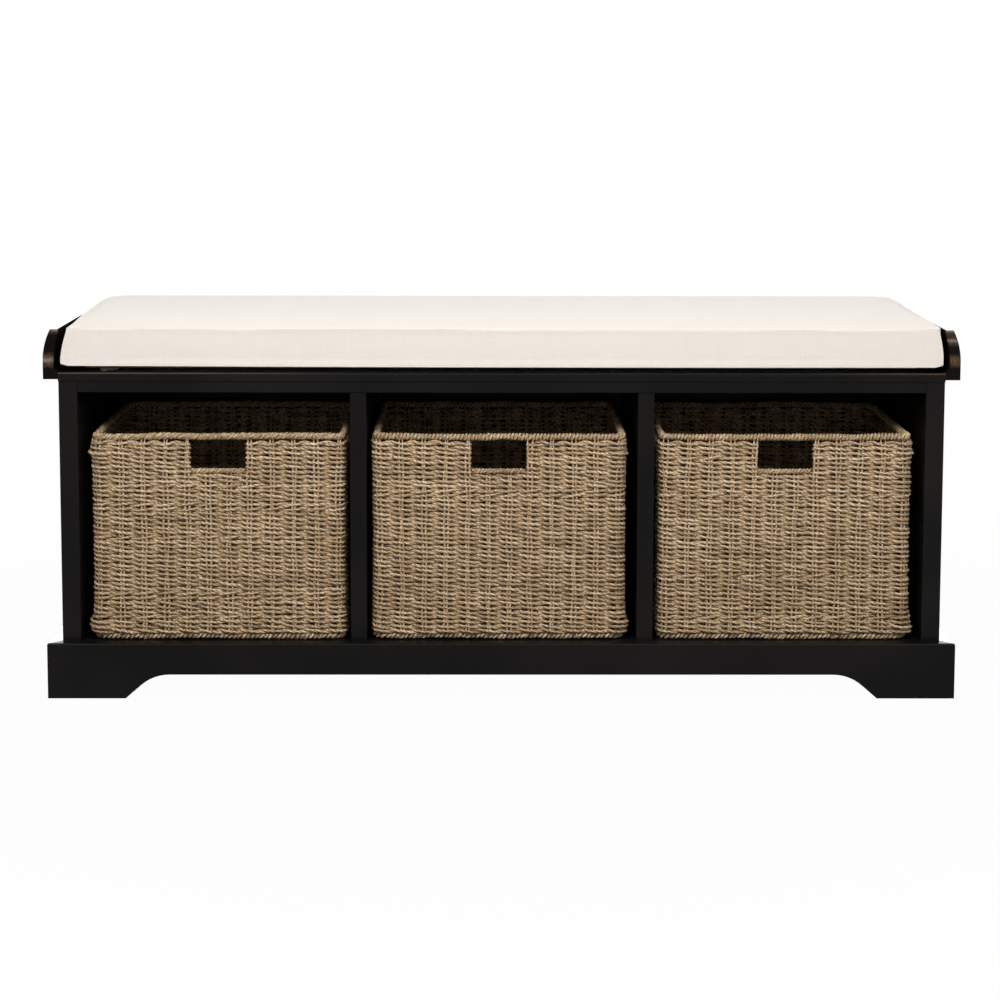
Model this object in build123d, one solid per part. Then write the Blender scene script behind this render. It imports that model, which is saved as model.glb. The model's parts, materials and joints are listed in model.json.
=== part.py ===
from build123d import *
from math import cos, radians, sin, tan
import os

# Entryway bench: a black cabinet with three open cubbies, a basket in each, a plinth on bracket
# feet, two low curved arms and a loose seat cushion.
# Millimetres, +Z up, front towards -Y. The origin is on the floor under the middle of the bench.

# Cabinet
cabinet_width = 1180.0
bench_depth = 400.0
side_thickness = 25.0
side_lift_over_arch = 8.0
divider_thickness = 22.0
cubby_height = 336.0
shelf_thickness = 18.0
top_thickness = 15.0
back_thickness = 4.0
back_rebate = 12.0
panel_edge_round = 1.5

# Plinth on bracket feet
plinth_height = 75.0
plinth_thickness = 18.0
plinth_edge_round = 2.5
arch_height = 32.5
front_foot_length = 104.0
side_foot_length = 92.0
foot_slope = 41.0
foot_arc_radius = 58.0
rail_thickness = 18.0
corner_block_leg = 56.0
corner_block_lift = 3.0

# Seat board
seat_thickness = 12.0
seat_overhang = 2.0
seat_edge_round = 2.5

# Arms
arm_thickness = 20.0
arm_lap = 9.0
arm_rise = 58.0
arm_straight = 15.0
arm_lean = 10.5
arm_top_width = 11.5
arm_scoop = 6.0
arm_scoop_rise = 9.0
arm_top_round = 3.0
arm_front_round = 2.0

# Cushion
cushion_end_gap = 1.2
cushion_front_gap = 8.0
cushion_back_gap = 5.0
cushion_lean = 10.0
cushion_side_height = 50.0
cushion_side_bulge = 2.5
cushion_edge_lift = 6.0
cushion_edge_roll = 34.0
cushion_crown = 7.0
cushion_end_run = 170.0
cushion_cross_run = 150.0
cushion_corner_radius = 18.0
cushion_top_round = 6.0
cover_thickness = 2.0
foam_gap = 0.3

# Round hook-and-loop pads that hold the cushion
pad_diameter = 24.0
pad_thickness = 1.2
pad_gap = 0.3
pad_end_inset = 61.0
pad_edge_inset = 60.0
pad_shown_inset = 22.0

# Baskets
basket_side_room = 8.5
basket_set_back = 1.0
basket_back_room = 40.0
basket_headroom = 55.0
basket_flare = 2.0
basket_wall = 8.0
basket_base_thickness = 8.0
basket_corner_radius = 18.0
basket_wall_bands = 4
rim_height = 10.0
rim_width = 10.0
rim_inset = 2.5
rim_bevel = 3.0
border_height = 9.0
border_width = 12.0
border_inset = 5.0
border_bevel = 2.5
handle_width = 73.0
handle_height = 35.0
binding_height = 8.0
binding_proud = 1.5
binding_bevel = 2.0
basket_fit = 0.3
basket_offsets = {"left": 5.0, "middle": -4.0, "right": -5.0}

# Fasteners
dowel_diameter = 8.0
dowel_length = 30.0
dowel_panel_depth = 11.0
arm_dowel_diameter = 5.0
arm_dowel_depth = 12.0
cam_diameter = 15.0
cam_depth = 11.0
cam_set_back = 24.0
bolt_diameter = 6.0
bolt_panel_depth = 12.0
bolt_head_reach = 5.0
screw_diameter = 4.0
screw_head_diameter = 8.0
seat_screw_length = 22.0
plinth_screw_length = 36.0
back_screw_diameter = 3.0
back_screw_head_diameter = 6.0
back_screw_length = 16.0
fastener_fit = 0.15
fastener_sides = 8
pad_sides = 24
joint_inset = 60.0
joint_spacing = 45.0
back_screw_inset = 100.0

# Modelling: how far a cutter runs past the face it opens
overcut = 1.0

# Heights
shelf_bottom = plinth_height - shelf_thickness
cubby_top = plinth_height + cubby_height
seat_bottom = cubby_top + top_thickness
seat_top = seat_bottom + seat_thickness
arm_bottom = seat_top - arm_lap
arm_top = seat_top + arm_rise
side_bottom = arch_height + side_lift_over_arch

# Widths and depths
half_cabinet = cabinet_width / 2
half_inside = half_cabinet - side_thickness
half_plinth = half_cabinet + plinth_thickness
half_width = half_cabinet + arm_thickness
cubby_width = (2 * half_inside - 2 * divider_thickness) / 3
divider_centre = (cubby_width + divider_thickness) / 2
cubby_pitch = cubby_width + divider_thickness
plinth_front_y = -bench_depth / 2
cabinet_front_y = plinth_front_y + plinth_thickness
back_y = bench_depth / 2
panel_back_y = back_y - back_thickness
seat_front_y = cabinet_front_y - seat_overhang
joint_rows = (cabinet_front_y + joint_inset, panel_back_y - joint_inset)

parts = {}
holes = {}


def block(x_range, y_range, z_range):
    centre = [sum(span) / 2 for span in (x_range, y_range, z_range)]
    size = [span[1] - span[0] for span in (x_range, y_range, z_range)]
    return Pos(*centre) * Box(*size)


def mirrored_span(side, near, far):
    """Span in X on one side of the bench: side is -1 on the left and 1 on the right."""
    return tuple(sorted((side * near, side * far)))


def prism(face, plane_offset, length):
    """A face drawn as (x, z), pushed back along +Y from plane_offset."""
    return extrude(Plane((0, plane_offset, 0), x_dir=(1, 0, 0), z_dir=(0, -1, 0)) * face, -length)


def side_prism(face, plane_offset, length):
    """A face drawn as (y, z), pushed along +X from plane_offset."""
    return extrude(Plane((plane_offset, 0, 0), x_dir=(0, 1, 0), z_dir=(1, 0, 0)) * face, length)


def flat_prism(face, bottom, height):
    return extrude(Pos(0, 0, bottom) * face, height)


def rod(start, direction, length, diameter, sides=fastener_sides):
    return extrude(Plane(start, z_dir=direction) * RegularPolygon(diameter / 2, sides), length)


def closed_face(lines):
    return make_face(Curve() + lines)


def plan_face(width, depth, radius):
    return RectangleRounded(width, depth, radius)


def front_uprights(part):
    return part.edges().filter_by(Axis.Z).group_by(Axis.Y)[0]


def add(name, part):
    parts[name] = part
    holes[name] = []


# Cabinet panels

def side_panel(side):
    panel = block(mirrored_span(side, half_inside, half_cabinet),
                  (cabinet_front_y, back_y), (side_bottom, seat_bottom))
    panel = fillet(front_uprights(panel), panel_edge_round)
    rebate = block(mirrored_span(side, half_inside - back_rebate, half_inside + back_rebate),
                   (panel_back_y, back_y + overcut), (side_bottom - overcut, seat_bottom + overcut))
    return panel - rebate


def flat_panel(bottom, thickness):
    return block((-half_inside, half_inside), (cabinet_front_y, panel_back_y), (bottom, bottom + thickness))


def divider(side):
    centre = side * divider_centre
    panel = block((centre - divider_thickness / 2, centre + divider_thickness / 2),
                  (cabinet_front_y, panel_back_y), (plinth_height, cubby_top))
    return fillet(front_uprights(panel), panel_edge_round)


def top_panel():
    panel = flat_panel(cubby_top, top_thickness)
    lower_front = panel.edges().filter_by(Axis.X).group_by(Axis.Y)[0].sort_by(Axis.Z)[0]
    return fillet(lower_front, panel_edge_round)


def back_panel():
    half = half_inside + back_rebate
    return block((-half, half), (panel_back_y, back_y), (shelf_bottom, seat_bottom))


def seat_board():
    board = block((-half_cabinet, half_cabinet), (seat_front_y, back_y), (seat_bottom, seat_top))
    front_edges = board.edges().filter_by(Axis.X).group_by(Axis.Y)[0].sort_by(Axis.Z)
    board = fillet(front_edges[1], seat_edge_round)
    lower_front = board.edges().filter_by(Axis.X).group_by(Axis.Z)[0].sort_by(Axis.Y)[0]
    return fillet(lower_front, panel_edge_round)


# Plinth

def arched_face(length, foot_length):
    """Board outline with a foot at each end: a straight slope, then an arc into the apron."""
    turn = radians(foot_slope)
    slope_height = arch_height - foot_arc_radius * (1 - cos(turn))
    foot_x = -length / 2 + foot_length
    slope_x = foot_x + slope_height / tan(turn)
    apron_x = slope_x + foot_arc_radius * sin(turn)
    arc_low = arch_height - foot_arc_radius
    arc_middle = (apron_x - foot_arc_radius * sin(turn / 2), arc_low + foot_arc_radius * cos(turn / 2))
    left = [Line((-length / 2, 0), (foot_x, 0)),
            Line((foot_x, 0), (slope_x, slope_height)),
            ThreePointArc((slope_x, slope_height), arc_middle, (apron_x, arch_height))]
    right = [mirror(line, Plane.YZ) for line in left]
    rest = [Line((apron_x, arch_height), (-apron_x, arch_height)),
            Polyline((-length / 2, 0), (-length / 2, plinth_height), (length / 2, plinth_height),
                     (length / 2, 0))]
    return closed_face(left + right + rest)


def plinth_front():
    board = prism(arched_face(2 * half_plinth, front_foot_length), plinth_front_y, plinth_thickness)
    mitred = make_face(Polyline((-half_plinth, plinth_front_y), (half_plinth, plinth_front_y),
                                (half_cabinet, cabinet_front_y), (-half_cabinet, cabinet_front_y),
                                close=True))
    board = board & flat_prism(mitred, 0, plinth_height)
    upper_front = board.edges().filter_by(Axis.X).group_by(Axis.Z)[-1].sort_by(Axis.Y)[0]
    return fillet(upper_front, plinth_edge_round)


def plinth_side(side):
    start = min(mirrored_span(side, half_cabinet, half_plinth))
    board = side_prism(arched_face(bench_depth, side_foot_length), start, plinth_thickness)
    outer = side * half_plinth
    inner = side * half_cabinet
    mitred = make_face(Polyline((outer, plinth_front_y), (outer, back_y), (inner, back_y),
                                (inner, cabinet_front_y), close=True))
    board = board & flat_prism(mitred, 0, plinth_height)
    upper = board.edges().filter_by(Axis.Y).group_by(Axis.Z)[-1].sort_by(Axis.X)
    return fillet(upper[-1] if side > 0 else upper[0], plinth_edge_round)


def back_rail():
    return block((-half_inside, half_inside), (panel_back_y - rail_thickness, panel_back_y),
                 (arch_height, shelf_bottom))


def corner_block(side, end):
    """Triangular block in a foot, under the side panel: end is -1 at the front and 1 at the back."""
    x = side * half_cabinet
    y = cabinet_front_y if end < 0 else panel_back_y - rail_thickness
    corner = make_face(Polyline((x, y), (x - side * corner_block_leg, y),
                                (x, y - end * corner_block_leg), close=True))
    return flat_prism(corner, corner_block_lift, side_bottom - corner_block_lift)


# Arms

def arm(side):
    top_outer = half_width - arm_lean
    top_inner = top_outer - arm_top_width
    straight_top = seat_top + arm_straight
    scoop = (half_cabinet + arm_scoop, seat_top + arm_scoop_rise)
    outline = [Line((half_cabinet, arm_bottom), (half_width, arm_bottom)),
               Line((half_width, arm_bottom), (half_width, straight_top)),
               TangentArc((half_width, straight_top), (top_outer, arm_top), tangent=(0, 1)),
               Line((top_outer, arm_top), (top_inner, arm_top)),
               TangentArc(scoop, (top_inner, arm_top), tangent=(0, 1)),
               TangentArc(scoop, (half_cabinet, seat_top), tangent=(0, -1)),
               Line((half_cabinet, seat_top), (half_cabinet, arm_bottom))]
    face = closed_face(outline)
    face = fillet(face.vertices().group_by(Axis.Y)[-1], arm_top_round)
    body = prism(face, seat_front_y, back_y - seat_front_y)
    outer_front = [edge for edge in body.faces().sort_by(Axis.Y)[0].edges()
                   if edge.center().X > half_cabinet + arm_thickness / 2 or edge.center().Z > scoop[1]]
    body = fillet(outer_front, arm_front_round)
    return body if side > 0 else mirror(body, Plane.YZ)


# Cushion

cushion_half = half_width - arm_lean - arm_top_width - cushion_end_gap
cushion_front_y = seat_front_y + cushion_front_gap
cushion_back_y = back_y - cushion_back_gap
cushion_bottom = seat_top + 2 * pad_thickness + pad_gap
cushion_height = cushion_edge_lift + cushion_side_height + cushion_crown


def soft_section(half, lean, run, inset):
    """Cushion section about its middle: lifted lower edges, bulged sides and a crowned top."""
    low = cushion_bottom + inset
    edge_low = low + cushion_edge_lift
    edge_high = cushion_bottom + cushion_edge_lift + cushion_side_height - inset
    crown = edge_high + cushion_crown
    foot = half - inset
    shoulder = foot - lean
    belly = (foot + shoulder) / 2 + cushion_side_bulge
    roll = foot - cushion_edge_roll
    crown_end = shoulder - run
    right = [TangentArc((roll, low), (foot, edge_low), tangent=(1, 0)),
             ThreePointArc((foot, edge_low), (belly, (edge_low + edge_high) / 2), (shoulder, edge_high)),
             TangentArc((crown_end, crown), (shoulder, edge_high), tangent=(1, 0))]
    left = [mirror(line, Plane.YZ) for line in right]
    flats = [Line((-roll, low), (roll, low)), Line((-crown_end, crown), (crown_end, crown))]
    face = closed_face(right + left + flats)
    shoulders = [corner for corner in face.vertices() if abs(corner.Y - edge_high) < foam_gap]
    return fillet(shoulders, cushion_top_round - inset)


def cushion_form(inset):
    """Crowned along both ways: the long section, the cross section and the plan, met together."""
    middle_y = (cushion_front_y + cushion_back_y) / 2
    half_deep = (cushion_back_y - cushion_front_y) / 2
    reach_x = cushion_half + cushion_side_bulge
    reach_y = half_deep + cushion_side_bulge
    along = prism(soft_section(cushion_half, cushion_lean, cushion_end_run, inset),
                  middle_y - reach_y, 2 * reach_y)
    across = side_prism(Pos(middle_y, 0) * soft_section(half_deep, 0, cushion_cross_run, inset),
                        -reach_x, 2 * reach_x)
    plan = Pos(0, middle_y) * plan_face(2 * (reach_x - inset), 2 * (reach_y - inset),
                                        cushion_corner_radius - inset)
    return along & across & flat_prism(plan, cushion_bottom, cushion_height)


def pads(bottom):
    """One pad at each corner: the front left one sits further forward and just shows."""
    group = []
    for side in (-1, 1):
        x = side * (cushion_half - pad_end_inset)
        front_inset = pad_shown_inset if side < 0 else pad_edge_inset
        for y in (cushion_front_y + front_inset, cushion_back_y - pad_edge_inset):
            group.append(rod((x, y, bottom), (0, 0, 1), pad_thickness, pad_diameter, pad_sides))
    return group


# Baskets

basket_top = cubby_height - basket_headroom
wall_top = basket_top - rim_height
notch_bottom = wall_top - handle_height - binding_height
flared_size = (cubby_width - 2 * basket_side_room,
               panel_back_y - cabinet_front_y - basket_set_back - basket_back_room)
waist_size = [size - 2 * basket_flare for size in flared_size]
inside_size = [size - 2 * basket_wall for size in waist_size]
inside_radius = basket_corner_radius - basket_wall


def grown(size, amount):
    return [length + 2 * amount for length in size]


def basket_ring(size, breadth, bottom, height):
    outer = plan_face(*size, basket_corner_radius)
    inner = plan_face(*grown(size, -breadth), basket_corner_radius - breadth)
    return flat_prism(outer - inner, bottom, height)


def basket_wall_shell():
    """Wall drawn in at the middle of its height, open at the top and round the handle hole."""
    sections = []
    for band in range(basket_wall_bands + 1):
        share = band / basket_wall_bands
        spread = basket_flare * (2 * share - 1) ** 2
        height = border_height + share * (wall_top - border_height)
        sections.append(Pos(0, 0, height) * plan_face(*grown(waist_size, spread), basket_corner_radius))
    inside = flat_prism(plan_face(*inside_size, inside_radius), border_height - overcut, basket_top)
    notch = block((-handle_width / 2, handle_width / 2),
                  (-flared_size[1] / 2 - overcut, -inside_size[1] / 2 + overcut),
                  (notch_bottom, wall_top + overcut))
    return loft(sections, ruled=True) - inside - notch


def basket(label, cubby):
    """Basket in one cubby: cubby counts -1, 0, 1 from the left."""
    place = Pos(cubby * cubby_pitch + basket_offsets[label],
                cabinet_front_y + basket_set_back + flared_size[1] / 2, plinth_height)
    rim = basket_ring(grown(flared_size, -rim_inset), rim_width, wall_top, rim_height)
    border = basket_ring(grown(flared_size, -border_inset), border_width, 0, border_height)
    base = flat_prism(plan_face(*grown(inside_size, -basket_fit), inside_radius - basket_fit),
                      border_height, basket_base_thickness)
    binding = block((-handle_width / 2, handle_width / 2),
                    (-waist_size[1] / 2 - binding_proud, -inside_size[1] / 2 + binding_proud),
                    (notch_bottom, notch_bottom + binding_height))
    add(f"basket_{label}_weave", place * basket_wall_shell())
    add(f"basket_{label}_base", place * base)
    add(f"basket_{label}_rim", place * chamfer(rim.edges().group_by(Axis.Z)[-1], rim_bevel))
    add(f"basket_{label}_border", place * chamfer(border.edges().group_by(Axis.Z)[0], border_bevel))
    add(f"basket_{label}_binding",
        place * chamfer(binding.edges().filter_by(Axis.X).group_by(Axis.Z)[-1], binding_bevel))


# Fasteners: each list holds the pieces, and what they pass through is bored to the same sizes

def countersunk(start, direction, length, diameter, head_diameter, grow=0.0):
    """Screw with its flat head flush at start."""
    head_depth = (head_diameter - diameter) / 2
    plane = Plane(start, z_dir=direction)
    shank = RegularPolygon(diameter / 2 + grow, fastener_sides)
    head = loft([plane * RegularPolygon(head_diameter / 2 + grow, fastener_sides),
                 plane.offset(head_depth) * shank], ruled=True)
    return head + extrude(plane.offset(head_depth) * shank, length - head_depth)


def bore(names, hole):
    for name in names:
        holes[name].append(hole)


def side_name(side):
    return "left" if side < 0 else "right"


def dowel(start, direction, names):
    bore(names, rod(start, direction, dowel_length, dowel_diameter + 2 * fastener_fit))
    return rod(start, direction, dowel_length, dowel_diameter)


def panel_dowels():
    """Upright dowels in the dividers and level ones in the sides."""
    group = []
    for side in (-1, 1):
        name = f"divider_{side_name(side)}"
        panel = f"side_panel_{side_name(side)}"
        for y in joint_rows:
            x = side * divider_centre
            group.append(dowel((x, y, plinth_height - dowel_panel_depth), (0, 0, 1), (name, "bottom_shelf")))
            group.append(dowel((x, y, cubby_top + dowel_panel_depth), (0, 0, -1), (name, "top_panel")))
            for board, z in (("bottom_shelf", shelf_bottom + shelf_thickness / 2),
                             ("top_panel", cubby_top + top_thickness / 2)):
                start = (side * (half_inside + dowel_panel_depth), y + joint_spacing, z)
                group.append(dowel(start, (-side, 0, 0), (panel, board)))
    return group


def cam_fittings():
    """Cam in the hidden face of each level board, with a bolt from the side panel into it."""
    cams = []
    bolts = []
    for side in (-1, 1):
        panel = f"side_panel_{side_name(side)}"
        cam_x = side * (half_inside - cam_set_back)
        bolt_start = side * (half_inside + bolt_panel_depth)
        reach = bolt_panel_depth + cam_set_back + bolt_head_reach
        for board, face_z, z, up in (("bottom_shelf", shelf_bottom, shelf_bottom + shelf_thickness / 2, 1),
                                     ("top_panel", seat_bottom, cubby_top + top_thickness / 2, -1)):
            for y in joint_rows:
                bolt_hole = rod((bolt_start, y, z), (-side, 0, 0), reach, bolt_diameter + 2 * fastener_fit)
                cam_at = (cam_x, y, face_z)
                bolts.append(rod((bolt_start, y, z), (-side, 0, 0), reach, bolt_diameter))
                cams.append(rod(cam_at, (0, 0, up), cam_depth, cam_diameter) - bolt_hole)
                bore((panel, board), bolt_hole)
                bore((board,), rod(cam_at, (0, 0, up), cam_depth, cam_diameter + 2 * fastener_fit))
    return cams, bolts


def screw(start, direction, length, diameter, head_diameter, names):
    bore(names, countersunk(start, direction, length, diameter, head_diameter, fastener_fit))
    return countersunk(start, direction, length, diameter, head_diameter)


def seat_screws():
    return [screw((cubby * cubby_pitch, y, cubby_top), (0, 0, 1), seat_screw_length, screw_diameter,
                  screw_head_diameter, ("top_panel", "seat_board"))
            for cubby in (-1, 0, 1) for y in joint_rows]


def plinth_screws():
    z = (side_bottom + shelf_bottom) / 2
    return [screw((side * half_inside, y, z), (side, 0, 0), plinth_screw_length, screw_diameter,
                  screw_head_diameter, (f"side_panel_{side_name(side)}", f"plinth_{side_name(side)}"))
            for side in (-1, 1) for y in (*joint_rows, sum(joint_rows) / 2)]


def back_screws():
    spots = []
    for cubby in (-1, 0, 1):
        spots.append((cubby * cubby_pitch, shelf_bottom + shelf_thickness / 2, "bottom_shelf"))
        spots.append((cubby * cubby_pitch, cubby_top + top_thickness / 2, "top_panel"))
    for side in (-1, 1):
        for z in (plinth_height + back_screw_inset, cubby_top - back_screw_inset):
            edge_x = side * (half_inside + back_rebate / 2)
            spots.append((edge_x, z, f"side_panel_{side_name(side)}"))
            spots.append((side * divider_centre, z, f"divider_{side_name(side)}"))
    return [screw((x, back_y, z), (0, -1, 0), back_screw_length, back_screw_diameter,
                  back_screw_head_diameter, ("back_panel", board)) for x, z, board in spots]


def arm_dowels():
    group = []
    z = seat_top - arm_lap / 2
    for side in (-1, 1):
        start_x = side * (half_cabinet + arm_dowel_depth)
        for y in (*joint_rows, sum(joint_rows) / 2):
            at = (start_x, y, z)
            length = 2 * arm_dowel_depth
            bore((f"arm_{side_name(side)}", "seat_board"),
                 rod(at, (-side, 0, 0), length, arm_dowel_diameter + 2 * fastener_fit))
            group.append(rod(at, (-side, 0, 0), length, arm_dowel_diameter))
    return group


for side in (-1, 1):
    add(f"side_panel_{side_name(side)}", side_panel(side))
    add(f"divider_{side_name(side)}", divider(side))
    add(f"arm_{side_name(side)}", arm(side))
    add(f"plinth_{side_name(side)}", plinth_side(side))
add("top_panel", top_panel())
add("bottom_shelf", flat_panel(shelf_bottom, shelf_thickness))
add("back_panel", back_panel())
add("seat_board", seat_board())
add("plinth_front", plinth_front())
add("back_rail", back_rail())
add("corner_blocks", [corner_block(side, end) for side in (-1, 1) for end in (-1, 1)])
add("hook_pads", pads(seat_top))
add("loop_pads", pads(seat_top + pad_thickness + pad_gap))
add("cushion_cover", cushion_form(0) - cushion_form(cover_thickness))
add("cushion_foam", cushion_form(cover_thickness + foam_gap))
for cubby, label in zip((-1, 0, 1), basket_offsets):
    basket(label, cubby)
cam_locks, cam_bolts = cam_fittings()
add("panel_dowels", panel_dowels())
add("cam_locks", cam_locks)
add("cam_bolts", cam_bolts)
add("seat_screws", seat_screws())
add("plinth_screws", plinth_screws())
add("back_screws", back_screws())
add("arm_dowels", arm_dowels())

os.makedirs("parts", exist_ok=True)
for name, part in parts.items():
    if holes[name]:
        part = part - holes[name]
    shape = Compound(children=part) if isinstance(part, list) else part
    export_step(shape, f"parts/{name}.step")
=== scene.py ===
import json
import math

import bpy
import numpy as np
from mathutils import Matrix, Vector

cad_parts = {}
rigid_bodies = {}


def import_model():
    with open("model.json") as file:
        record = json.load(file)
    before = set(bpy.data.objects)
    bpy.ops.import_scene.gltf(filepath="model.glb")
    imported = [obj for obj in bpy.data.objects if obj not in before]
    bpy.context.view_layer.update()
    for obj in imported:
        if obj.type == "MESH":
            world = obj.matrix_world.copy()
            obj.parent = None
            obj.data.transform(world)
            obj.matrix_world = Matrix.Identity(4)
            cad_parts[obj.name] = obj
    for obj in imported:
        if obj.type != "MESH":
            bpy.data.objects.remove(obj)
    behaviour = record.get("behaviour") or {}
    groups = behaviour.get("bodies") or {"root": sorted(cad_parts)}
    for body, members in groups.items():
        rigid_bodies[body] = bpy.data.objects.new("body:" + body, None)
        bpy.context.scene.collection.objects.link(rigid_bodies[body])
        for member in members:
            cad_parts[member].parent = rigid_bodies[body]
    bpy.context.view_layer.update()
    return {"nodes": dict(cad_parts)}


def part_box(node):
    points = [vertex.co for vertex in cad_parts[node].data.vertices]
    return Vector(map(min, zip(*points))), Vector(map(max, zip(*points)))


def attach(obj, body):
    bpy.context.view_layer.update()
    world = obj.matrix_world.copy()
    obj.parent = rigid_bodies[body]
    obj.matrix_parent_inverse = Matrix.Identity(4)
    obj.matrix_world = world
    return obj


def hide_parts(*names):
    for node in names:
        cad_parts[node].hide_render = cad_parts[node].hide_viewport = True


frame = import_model()
BASKETS = ("left", "middle", "right")


# Materials: arithmetic on a socket adds Math nodes to its own material

class Socket:
    def __init__(self, finish, socket):
        self.finish = finish
        self.socket = socket

    def math(self, operation, *values):
        return self.finish.node("ShaderNodeMath", {"operation": operation}, dict(enumerate(values)))

    def __add__(self, other):
        return self.math("ADD", self, other)

    def __sub__(self, other):
        return self.math("SUBTRACT", self, other)

    def __rsub__(self, other):
        return self.math("SUBTRACT", other, self)

    def __mul__(self, other):
        return self.math("MULTIPLY", self, other)

    __radd__ = __add__
    __rmul__ = __mul__

    def clamped(self):
        return self.math("MAXIMUM", self.math("MINIMUM", self, 1.0), 0.0)

    def ramp(self, low, high):
        """0 below low, 1 above high, smooth between."""
        return self.finish.node("ShaderNodeMapRange", {"interpolation_type": "SMOOTHSTEP"},
                                {"Value": self, "From Min": low, "From Max": high})


class Finish:
    """The nodes of a material, or of the world."""

    def __init__(self, name, kind="Material"):
        library = bpy.data.worlds if kind == "World" else bpy.data.materials
        self.owner = library.new(name)
        self.owner.use_nodes = True
        self.tree = self.owner.node_tree
        self.tree.nodes.clear()
        self.output = self.tree.nodes.new(f"ShaderNodeOutput{kind}")

    def node(self, kind, settings=None, sockets=None, out=0):
        """Adds a node, sets it, fills or links its sockets, and returns one of its outputs."""
        made = self.tree.nodes.new(kind)
        for key, value in (settings or {}).items():
            setattr(made, key, value)
        for key, value in (sockets or {}).items():
            if isinstance(value, Socket):
                self.tree.links.new(value.socket, made.inputs[key])
            else:
                made.inputs[key].default_value = value
        return Socket(self, made.outputs[out])

    def place(self, scale=(1, 1, 1)):
        spot = self.node("ShaderNodeTexCoord", out="Object")
        return self.node("ShaderNodeMapping", {}, {"Vector": spot, "Scale": scale})

    def noise(self, vector, scale, detail=3.0, rough=0.5):
        return self.node("ShaderNodeTexNoise", {},
                         {"Vector": vector, "Scale": scale, "Detail": detail, "Roughness": rough})

    def mix(self, share, first, second):
        return self.node("ShaderNodeMix", {"data_type": "RGBA"},
                         {"Factor": share, 6: first, 7: second}, out=2)

    def split(self, vector):
        made = self.node("ShaderNodeSeparateXYZ", {}, {0: vector})
        return [Socket(self, output) for output in made.socket.node.outputs]

    def bump(self, height, strength, distance):
        return self.node("ShaderNodeBump", {},
                         {"Height": height, "Strength": strength, "Distance": distance})

    def rays_shown(self):
        """1 for rays that show something, also in a reflection or through glass, and 0 for the others."""
        direct, mirrored, through = (self.node("ShaderNodeLightPath", out=f"Is {ray} Ray")
                                     for ray in ("Camera", "Glossy", "Transmission"))
        return (direct + mirrored + through).clamped()

    def end(self, shader):
        self.tree.links.new(shader.socket, self.output.inputs["Surface"])
        return self.owner

    def shade(self, sockets):
        return self.end(self.node("ShaderNodeBsdfPrincipled", {}, sockets))


def black_paint(name, along, painted_highlights=(), shiny_above=None, gloss=0.08, tone=1.0):
    """Satin paint over wood, its grain faint along one axis. Painted highlights go in the given boxes, each
    a low corner, a high corner, a fade on each axis and the colour painted there. tone makes a brighter
    copy of the paint, which is painted light. It is polished above a height."""
    finish = Finish(name)
    stretch = [60.0, 60.0, 60.0]
    stretch["xyz".index(along)] = 3.0
    grain = finish.noise(finish.place(stretch), 4.0, 4.0, 0.6)
    peel = finish.noise(finish.place(), 420.0, 2.0)
    cloud = finish.noise(finish.place(), 6.0, 2.0)
    # tone brightens the paint's colour: painted light
    fresh, worn = ([tone * channel for channel in paint] + [1.0] for paint in (PAINT, PAINT_WORN))
    colour = finish.mix(cloud.ramp(0.35, 0.75), fresh, worn)
    # Painted highlights: each box's colour laid over the paint, broken up by the grain
    for low, high, fades, showing in painted_highlights:
        inside = grain.ramp(0.2, 0.6)
        for value, least, most, fade in zip(finish.split(finish.place()), low, high, fades):
            inside = inside * value.ramp(least - fade, least + fade)
            inside = inside * (1.0 - value.ramp(most - fade, most + fade))
        colour = finish.mix(inside, colour, showing)
    sockets = {
        "Base Color": colour,
        "Roughness": cloud * 0.12 + grain * 0.08 + 0.2,
        "Specular IOR Level": gloss,
        "Normal": finish.bump(grain * 0.6 + peel * 0.4, 0.25, 0.0004)}
    if shiny_above is not None:
        height = finish.split(finish.place())[2]
        sockets["Coat Weight"] = height.ramp(shiny_above - 0.0008, shiny_above - 0.0002)
        sockets["Coat Roughness"] = 0.12
        sockets["Coat IOR"] = 1.6
    return finish.shade(sockets)


def bare_wood(name, pale, dark):
    """Unpainted wood: growth rings stretched along X."""
    finish = Finish(name)
    rings = finish.noise(finish.place((6.0, 90.0, 90.0)), 3.0, 4.0, 0.6)
    pores = finish.noise(finish.place((40.0, 700.0, 700.0)), 3.0, 2.0)
    return finish.shade({
        "Base Color": finish.mix((rings * 0.8 + pores * 0.2).ramp(0.3, 0.7), pale, dark),
        "Roughness": pores * 0.2 + 0.55,
        "Normal": finish.bump(pores, 0.3, 0.0003)})


def plated_metal(name, colour, roughness):
    """Cast or plated metal with a dull, slightly pitted face."""
    finish = Finish(name)
    pits = finish.noise(finish.place(), 900.0, 3.0)
    stain = finish.noise(finish.place(), 120.0, 2.0)
    duller = [channel * 0.7 for channel in colour[:3]] + [1.0]
    return finish.shade({
        "Base Color": finish.mix(stain.ramp(0.4, 0.8), colour, duller),
        "Metallic": 1.0,
        "Roughness": stain * 0.2 + roughness,
        "Normal": finish.bump(pits, 0.2, 0.0002)})


def hook_tape(name, dark, pale, frayed=None):
    """Nylon hook-and-loop tape: a nap of fine loops, frayed white between two places along X."""
    finish = Finish(name)
    nap = finish.noise(finish.place(), 1500.0, 2.0)
    colour = finish.mix(nap.ramp(0.35, 0.65), dark, pale)
    if frayed:
        across = finish.split(finish.place())[0]
        start, stop = (across.ramp(edge - FRAY_FADE, edge + FRAY_FADE) for edge in frayed)
        colour = finish.mix(start - stop, colour, FRAYED)
    return finish.shade({
        "Base Color": colour,
        "Roughness": nap * 0.2 + 0.7,
        "Normal": finish.bump(nap, 0.8, 0.0006)})


def paint_nodes(material, *names):
    for name in names:
        piece = frame["nodes"][name]
        piece.data.materials.clear()
        piece.data.materials.append(material)


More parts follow.
